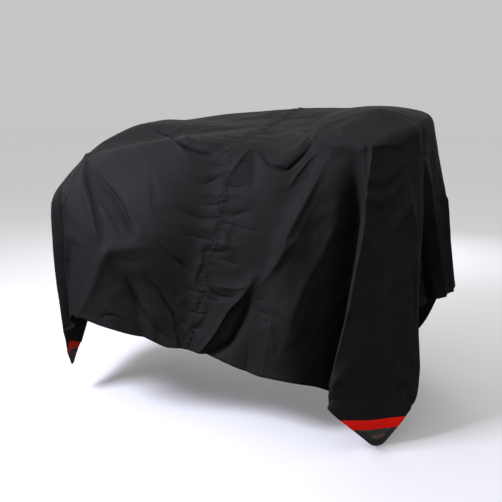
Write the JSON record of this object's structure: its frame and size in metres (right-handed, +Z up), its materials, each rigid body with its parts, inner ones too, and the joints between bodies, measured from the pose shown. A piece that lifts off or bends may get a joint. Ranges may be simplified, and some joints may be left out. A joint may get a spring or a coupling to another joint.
{
  "type": "drum set cover",
  "caption": "Draped black nylon cover for a drum set: cloth panels joined by a puckered seam, with a red band and a rounded dark patch at each corner.",
  "frame": {"origin": "underside of the cloth at the middle of its top, on the centre seam, where what stands under the cover holds it up", "axes": "+Z up; -Y the cover's front, with the seam's front end; +X to the right as seen from the front. The floor is 1.163 m below the origin"},
  "size_m": [1.6659, 1.2283, 1.2509],
  "materials": {
    "cover_cloth": "coated plain-woven nylon, low sheen",
    "red_band": "smooth woven",
    "patch_cloth": "heavier coated weave, slightly shiny",
    "binding": "ribbed tape",
    "label": "woven, bare"
  },
  "bodies": {
    "root": {"panel_left": "cover_cloth", "panel_right": "cover_cloth", "band_back_left": "red_band", "patch_back_left": "patch_cloth", "binding_back_left": "binding", "band_back_right": "red_band", "patch_back_right": "patch_cloth", "binding_back_right": "binding", "band_front_left": "red_band", "patch_front_left": "patch_cloth", "binding_front_left": "binding", "band_front_right": "red_band", "patch_front_right": "patch_cloth", "binding_front_right": "binding", "label": "label"}
  },
  "joints": []
}
